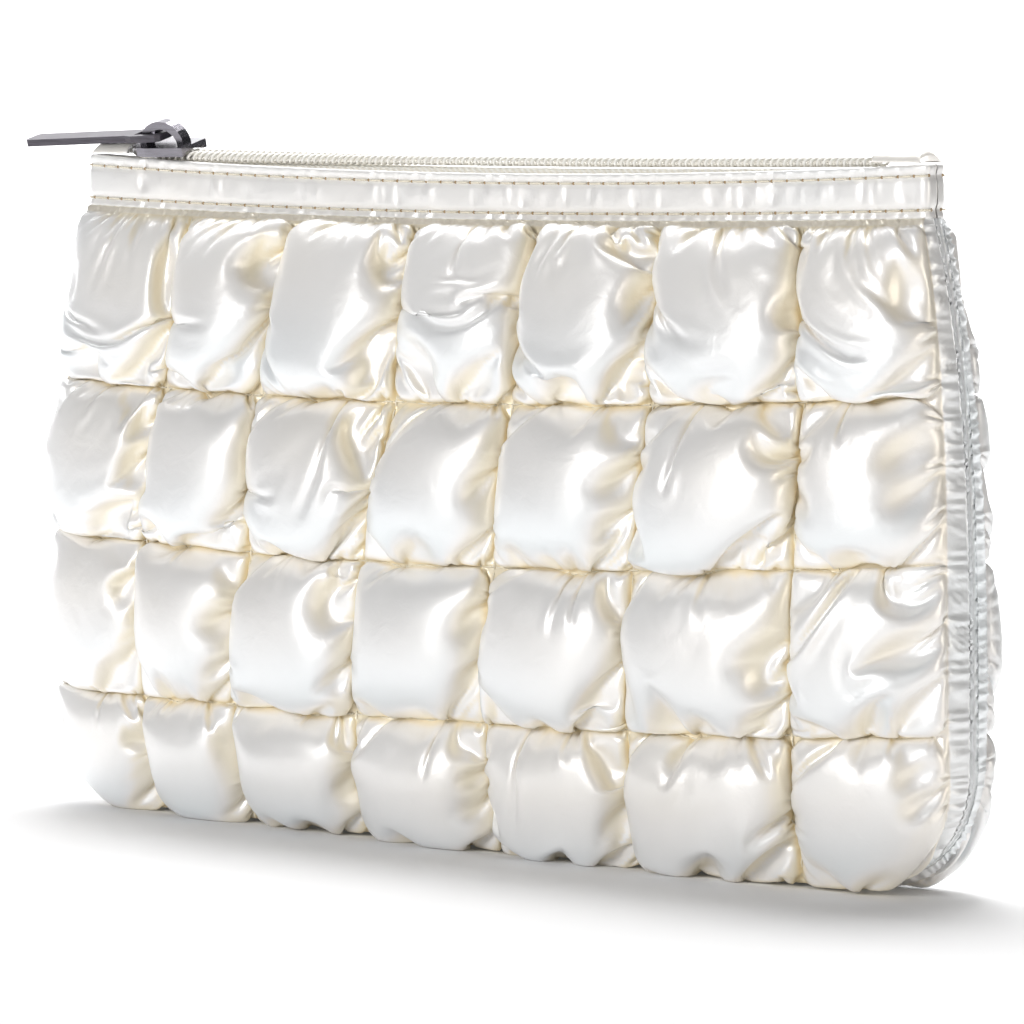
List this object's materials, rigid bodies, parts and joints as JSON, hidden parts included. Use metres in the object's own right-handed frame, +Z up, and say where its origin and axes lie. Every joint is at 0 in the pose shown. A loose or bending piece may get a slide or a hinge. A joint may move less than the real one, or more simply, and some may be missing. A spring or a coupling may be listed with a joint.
{
  "type": "quilted zip pouch bag",
  "caption": "Padded satin pouch bag with quilted puffs, gathered seams, a stitched top band and a coil zip with a bar pull.",
  "frame": {"origin": "middle of the object's footprint on the surface it stands on", "axes": "+X along the zip towards its closed right end, +Y from the front panel to the back panel, +Z up"},
  "size_m": [0.229, 0.0484, 0.1391],
  "materials": {
    "satin": "pearl satin, gathered over padding",
    "tape": "woven twill",
    "coil": "moulded nylon coil",
    "gunmetal": "polished gunmetal plating"
  },
  "bodies": {
    "bag": {"front_panel": "satin", "back_panel": "satin", "front_band": "satin", "back_band": "satin", "zipper_tab_left": "satin", "zipper_tab_right": "satin", "zipper_tape_front": "tape", "zipper_tape_back": "tape", "zipper_coil": "coil", "slider_body": "gunmetal"},
    "pull": {"pull_tab": "gunmetal"}
  },
  "joints": [
    {"name": "pull_hinge", "type": "hinge", "parent": "bag", "child": "pull", "pos_m": [-0.08051, -0.00094, 0.1337], "axis": [-0.0093, 0.9703, 0.2417], "range_deg": [0, 178]}
  ]
}
